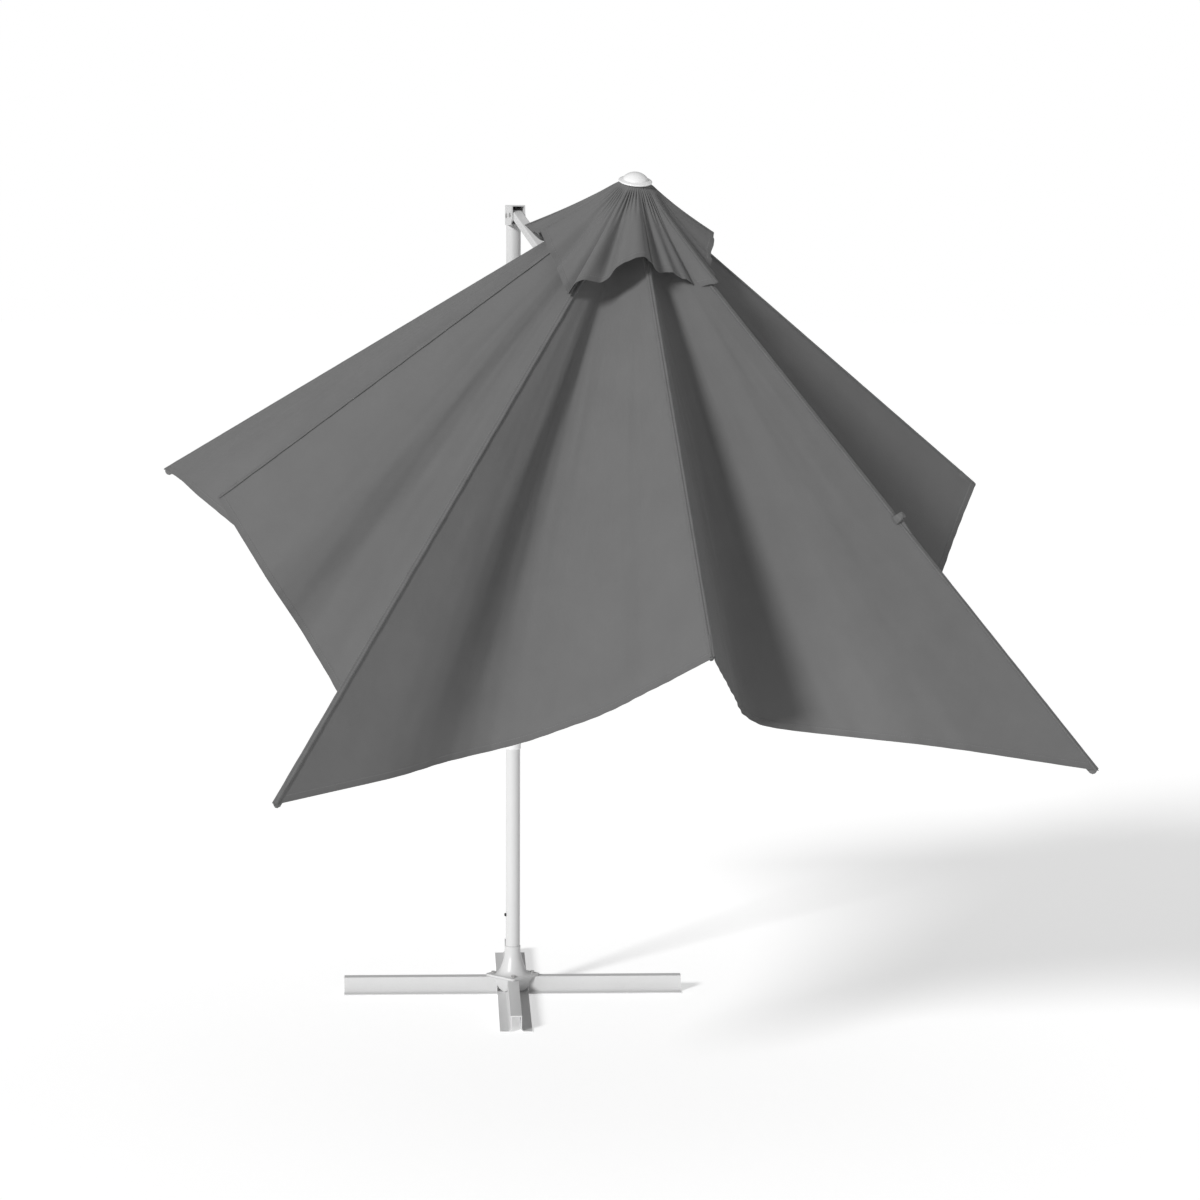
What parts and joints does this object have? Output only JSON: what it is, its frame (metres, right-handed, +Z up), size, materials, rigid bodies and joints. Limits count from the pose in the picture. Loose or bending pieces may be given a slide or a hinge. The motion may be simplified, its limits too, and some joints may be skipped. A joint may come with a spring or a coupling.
{
  "type": "cantilever parasol",
  "caption": "Cantilever parasol with a square vented canopy on a folding side arm, a turning mast with a crank and a flat cross base.",
  "frame": {"origin": "on the ground on the mast's axis, at the centre of the base cross", "axes": "+Z up along the mast; the arm and the canopy reach out along -Y; +X is the axis of the arm's hinges"},
  "size_m": [2.0608, 2.5601, 2.406],
  "materials": {
    "white_steel": "satin",
    "white_aluminium": "satin",
    "zinc_steel": "satin",
    "white_plastic": "gloss",
    "grey_plastic": "matte",
    "black_plastic": "matte",
    "grey_fabric": "matte"
  },
  "bodies": {
    "base": {"base_bar_front": "white_steel", "base_bar_side": "white_steel", "base_hub": "white_steel", "base_bolts": "zinc_steel", "mast_spigot": "white_steel"},
    "mast": {"mast_lower": "white_steel", "mast_upper": "white_steel", "mast_coupler": "white_plastic", "mast_fork": "white_steel", "fork_pins": "zinc_steel", "crank_housing": "white_plastic"},
    "clamp_screw": {"clamp_screw": "black_plastic"},
    "pulley": {"pulley": "white_plastic"},
    "crank": {"crank_drum": "black_plastic", "crank_arm": "white_aluminium"},
    "crank_knob": {"crank_knob": "black_plastic"},
    "strut": {"strut": "white_aluminium", "strut_clevis": "white_plastic", "strut_pin": "zinc_steel"},
    "arm": {"arm": "white_aluminium"},
    "slider": {"slider": "white_plastic", "slider_pin": "zinc_steel"},
    "head": {"head_bracket": "white_steel", "head_pins": "zinc_steel"},
    "crown": {"crown_hub": "grey_plastic", "centre_pole": "white_aluminium", "cap": "white_plastic"},
    "rib_front": {"rib_front": "white_aluminium"},
    "rib_front_right": {"rib_front_right": "white_aluminium"},
    "rib_right": {"rib_right": "white_aluminium"},
    "rib_back_right": {"rib_back_right": "white_aluminium"},
    "rib_back": {"rib_back": "white_aluminium"},
    "rib_back_left": {"rib_back_left": "white_aluminium"},
    "rib_left": {"rib_left": "white_aluminium"},
    "rib_front_left": {"rib_front_left": "white_aluminium"},
    "stretcher_front": {"stretcher_front": "white_aluminium"},
    "stretcher_front_right": {"stretcher_front_right": "white_aluminium"},
    "stretcher_right": {"stretcher_right": "white_aluminium"},
    "stretcher_back_right": {"stretcher_back_right": "white_aluminium"},
    "stretcher_back": {"stretcher_back": "white_aluminium"},
    "stretcher_back_left": {"stretcher_back_left": "white_aluminium"},
    "stretcher_left": {"stretcher_left": "white_aluminium"},
    "stretcher_front_left": {"stretcher_front_left": "white_aluminium"},
    "runner": {"runner": "grey_plastic"},
    "gore_front_right_inner": {"canopy_front_right_inner": "grey_fabric", "vent_front_right_inner": "grey_fabric"},
    "gore_front_right_outer": {"canopy_front_right_outer": "grey_fabric", "vent_front_right_outer": "grey_fabric"},
    "gore_back_right_outer": {"canopy_back_right_outer": "grey_fabric", "vent_back_right_outer": "grey_fabric"},
    "gore_back_right_inner": {"canopy_back_right_inner": "grey_fabric", "vent_back_right_inner": "grey_fabric"},
    "gore_back_left_inner": {"canopy_back_left_inner": "grey_fabric", "vent_back_left_inner": "grey_fabric"},
    "gore_back_left_outer": {"canopy_back_left_outer": "grey_fabric", "vent_back_left_outer": "grey_fabric"},
    "gore_front_left_outer": {"canopy_front_left_outer": "grey_fabric", "vent_front_left_outer": "grey_fabric"},
    "gore_front_left_inner": {"canopy_front_left_inner": "grey_fabric", "vent_front_left_inner": "grey_fabric"}
  },
  "joints": [
    {"name": "mast_swivel", "type": "hinge", "parent": "base", "child": "mast", "pos_m": [0, 0, 0], "axis": [0, 0, 1], "range_deg": [-180, 180]},
    {"name": "arm_fold", "type": "hinge", "parent": "mast", "child": "strut", "pos_m": [0, -0.045, 2.295], "axis": [1, 0, 0], "range_deg": [0, 60.5]},
    {"name": "arm_hinge", "type": "hinge", "parent": "strut", "child": "arm", "pos_m": [0, -0.53789, 2.13959], "axis": [1, 0, 0], "range_deg": [-121.01, 0]},
    {"name": "slider_hinge", "type": "hinge", "parent": "arm", "child": "slider", "pos_m": [0, -0.045, 1.98419], "axis": [1, 0, 0], "range_deg": [0, 60.51]},
    {"name": "head_follow", "type": "hinge", "parent": "arm", "child": "head", "pos_m": [0, -1.22955, 2.35767], "axis": [1, 0, 0], "range_deg": [0, 42.61]},
    {"name": "canopy_tilt", "type": "hinge", "parent": "head", "child": "crown", "pos_m": [0, -1.33854, 2.36976], "axis": [1, 0, 0], "range_deg": [-17.9, 0]},
    {"name": "clamp_turn", "type": "hinge", "parent": "mast", "child": "clamp_screw", "pos_m": [-0.021, 0, 0.232], "axis": [1, 0, 0], "continuous": true},
    {"name": "pulley_spin", "type": "hinge", "parent": "mast", "child": "pulley", "pos_m": [0, 0, 2.293], "axis": [1, 0, 0], "continuous": true},
    {"name": "crank_turn", "type": "hinge", "parent": "mast", "child": "crank", "pos_m": [0, 0.05, 1.05], "axis": [0, 1, 0], "continuous": true},
    {"name": "crank_knob_spin", "type": "hinge", "parent": "crank", "child": "crank_knob", "pos_m": [0, 0.095, 0.945], "axis": [0, 1, 0], "continuous": true},
    {"name": "rib_fold_front", "type": "hinge", "parent": "crown", "child": "rib_front", "pos_m": [0, -1.36101, 2.30659], "axis": [1, 0, 0], "range_deg": [0, 45.21]},
    {"name": "rib_fold_front_right", "type": "hinge", "parent": "crown", "child": "rib_front_right", "pos_m": [0.02885, -1.34964, 2.31026], "axis": [0.7071, 0.6729, 0.2173], "range_deg": [0, 45.21]},
    {"name": "rib_fold_right", "type": "hinge", "parent": "crown", "child": "rib_right", "pos_m": [0.0408, -1.32218, 2.31913], "axis": [0, 0.9516, 0.3074], "range_deg": [0, 45.21]},
    {"name": "rib_fold_back_right", "type": "hinge", "parent": "crown", "child": "rib_back_right", "pos_m": [0.02885, -1.29473, 2.328], "axis": [-0.7071, 0.6729, 0.2173], "range_deg": [0, 45.21]},
    {"name": "rib_fold_back", "type": "hinge", "parent": "crown", "child": "rib_back", "pos_m": [0, -1.28336, 2.33167], "axis": [-1, 0, 0], "range_deg": [0, 45.21]},
    {"name": "rib_fold_back_left", "type": "hinge", "parent": "crown", "child": "rib_back_left", "pos_m": [-0.02885, -1.29473, 2.328], "axis": [-0.7071, -0.6729, -0.2173], "range_deg": [0, 45.21]},
    {"name": "rib_fold_left", "type": "hinge", "parent": "crown", "child": "rib_left", "pos_m": [-0.0408, -1.32218, 2.31913], "axis": [0, -0.9516, -0.3074], "range_deg": [0, 45.21]},
    {"name": "rib_fold_front_left", "type": "hinge", "parent": "crown", "child": "rib_front_left", "pos_m": [-0.02885, -1.34964, 2.31026], "axis": [0.7071, -0.6729, -0.2173], "range_deg": [0, 45.21]},
    {"name": "stretcher_fold_front", "type": "hinge", "parent": "rib_front", "child": "stretcher_front", "pos_m": [0, -1.57823, 1.94677], "axis": [1, 0, 0], "range_deg": [-90.41, 0]},
    {"name": "stretcher_fold_front_right", "type": "hinge", "parent": "rib_front_right", "child": "stretcher_front_right", "pos_m": [0.25321, -1.47842, 1.979], "axis": [0.7071, 0.6729, 0.2173], "range_deg": [-90.41, 0]},
    {"name": "stretcher_fold_right", "type": "hinge", "parent": "rib_right", "child": "stretcher_right", "pos_m": [0.3581, -1.23746, 2.05683], "axis": [0, 0.9516, 0.3074], "range_deg": [-90.41, 0]},
    {"name": "stretcher_fold_back_right", "type": "hinge", "parent": "rib_back_right", "child": "stretcher_back_right", "pos_m": [0.25321, -0.99651, 2.13466], "axis": [-0.7071, 0.6729, 0.2173], "range_deg": [-90.41, 0]},
    {"name": "stretcher_fold_back", "type": "hinge", "parent": "rib_back", "child": "stretcher_back", "pos_m": [0, -0.8967, 2.16689], "axis": [-1, 0, 0], "range_deg": [-90.41, 0]},
    {"name": "stretcher_fold_back_left", "type": "hinge", "parent": "rib_back_left", "child": "stretcher_back_left", "pos_m": [-0.25321, -0.99651, 2.13466], "axis": [-0.7071, -0.6729, -0.2173], "range_deg": [-90.41, 0]},
    {"name": "stretcher_fold_left", "type": "hinge", "parent": "rib_left", "child": "stretcher_left", "pos_m": [-0.3581, -1.23746, 2.05683], "axis": [0, -0.9516, -0.3074], "range_deg": [-90.41, 0]},
    {"name": "stretcher_fold_front_left", "type": "hinge", "parent": "rib_front_left", "child": "stretcher_front_left", "pos_m": [-0.25321, -1.47842, 1.979], "axis": [0.7071, -0.6729, -0.2173], "range_deg": [-90.41, 0]},
    {"name": "runner_level", "type": "hinge", "parent": "stretcher_front", "child": "runner", "pos_m": [0, -1.19157, 1.78199], "axis": [1, 0, 0], "range_deg": [0, 45.21]},
    {"name": "gore_fold_front_right_inner", "type": "hinge", "parent": "crown", "child": "gore_front_right_inner", "pos_m": [0.01561, -1.35805, 2.30755], "axis": [0.9239, 0.3642, 0.1176], "range_deg": [0, 45.21], "deforming": ["canopy_front_right_inner", "vent_front_right_inner"]},
    {"name": "gore_fold_front_right_outer", "type": "hinge", "parent": "crown", "child": "gore_front_right_outer", "pos_m": [0.03769, -1.33704, 2.31433], "axis": [0.3827, 0.8792, 0.284], "range_deg": [0, 45.21], "deforming": ["canopy_front_right_outer", "vent_front_right_outer"]},
    {"name": "gore_fold_back_right_outer", "type": "hinge", "parent": "crown", "child": "gore_back_right_outer", "pos_m": [0.03769, -1.30733, 2.32393], "axis": [-0.3827, 0.8792, 0.284], "range_deg": [0, 45.21], "deforming": ["canopy_back_right_outer", "vent_back_right_outer"]},
    {"name": "gore_fold_back_right_inner", "type": "hinge", "parent": "crown", "child": "gore_back_right_inner", "pos_m": [0.01561, -1.28632, 2.33072], "axis": [-0.9239, 0.3642, 0.1176], "range_deg": [0, 45.21], "deforming": ["canopy_back_right_inner", "vent_back_right_inner"]},
    {"name": "gore_fold_back_left_inner", "type": "hinge", "parent": "crown", "child": "gore_back_left_inner", "pos_m": [-0.01561, -1.28632, 2.33072], "axis": [-0.9239, -0.3642, -0.1176], "range_deg": [0, 45.21], "deforming": ["canopy_back_left_inner", "vent_back_left_inner"]},
    {"name": "gore_fold_back_left_outer", "type": "hinge", "parent": "crown", "child": "gore_back_left_outer", "pos_m": [-0.03769, -1.30733, 2.32393], "axis": [-0.3827, -0.8792, -0.284], "range_deg": [0, 45.21], "deforming": ["canopy_back_left_outer", "vent_back_left_outer"]},
    {"name": "gore_fold_front_left_outer", "type": "hinge", "parent": "crown", "child": "gore_front_left_outer", "pos_m": [-0.03769, -1.33704, 2.31433], "axis": [0.3827, -0.8792, -0.284], "range_deg": [0, 45.21], "deforming": ["canopy_front_left_outer", "vent_front_left_outer"]},
    {"name": "gore_fold_front_left_inner", "type": "hinge", "parent": "crown", "child": "gore_front_left_inner", "pos_m": [-0.01561, -1.35805, 2.30755], "axis": [0.9239, -0.3642, -0.1176], "range_deg": [0, 45.21], "deforming": ["canopy_front_left_inner", "vent_front_left_inner"]}
  ],
  "couplings": [
    {"joint": "arm_hinge", "follows": "arm_fold", "ratio": -2},
    {"joint": "slider_hinge", "follows": "arm_fold", "ratio": 1},
    {"joint": "head_follow", "follows": "arm_fold", "ratio": 0.70413},
    {"joint": "rib_fold_front", "follows": "arm_fold", "ratio": 0.74711},
    {"joint": "rib_fold_front_right", "follows": "arm_fold", "ratio": 0.74711},
    {"joint": "rib_fold_right", "follows": "arm_fold", "ratio": 0.74711},
    {"joint": "rib_fold_back_right", "follows": "arm_fold", "ratio": 0.74711},
    {"joint": "rib_fold_back", "follows": "arm_fold", "ratio": 0.74711},
    {"joint": "rib_fold_back_left", "follows": "arm_fold", "ratio": 0.74711},
    {"joint": "rib_fold_left", "follows": "arm_fold", "ratio": 0.74711},
    {"joint": "rib_fold_front_left", "follows": "arm_fold", "ratio": 0.74711},
    {"joint": "stretcher_fold_front", "follows": "arm_fold", "ratio": -1.4942},
    {"joint": "stretcher_fold_front_right", "follows": "arm_fold", "ratio": -1.4942},
    {"joint": "stretcher_fold_right", "follows": "arm_fold", "ratio": -1.4942},
    {"joint": "stretcher_fold_back_right", "follows": "arm_fold", "ratio": -1.4942},
    {"joint": "stretcher_fold_back", "follows": "arm_fold", "ratio": -1.4942},
    {"joint": "stretcher_fold_back_left", "follows": "arm_fold", "ratio": -1.4942},
    {"joint": "stretcher_fold_left", "follows": "arm_fold", "ratio": -1.4942},
    {"joint": "stretcher_fold_front_left", "follows": "arm_fold", "ratio": -1.4942},
    {"joint": "runner_level", "follows": "arm_fold", "ratio": 0.74711},
    {"joint": "gore_fold_front_right_inner", "follows": "arm_fold", "ratio": 0.74711},
    {"joint": "gore_fold_front_right_outer", "follows": "arm_fold", "ratio": 0.74711},
    {"joint": "gore_fold_back_right_outer", "follows": "arm_fold", "ratio": 0.74711},
    {"joint": "gore_fold_back_right_inner", "follows": "arm_fold", "ratio": 0.74711},
    {"joint": "gore_fold_back_left_inner", "follows": "arm_fold", "ratio": 0.74711},
    {"joint": "gore_fold_back_left_outer", "follows": "arm_fold", "ratio": 0.74711},
    {"joint": "gore_fold_front_left_outer", "follows": "arm_fold", "ratio": 0.74711},
    {"joint": "gore_fold_front_left_inner", "follows": "arm_fold", "ratio": 0.74711}
  ]
}
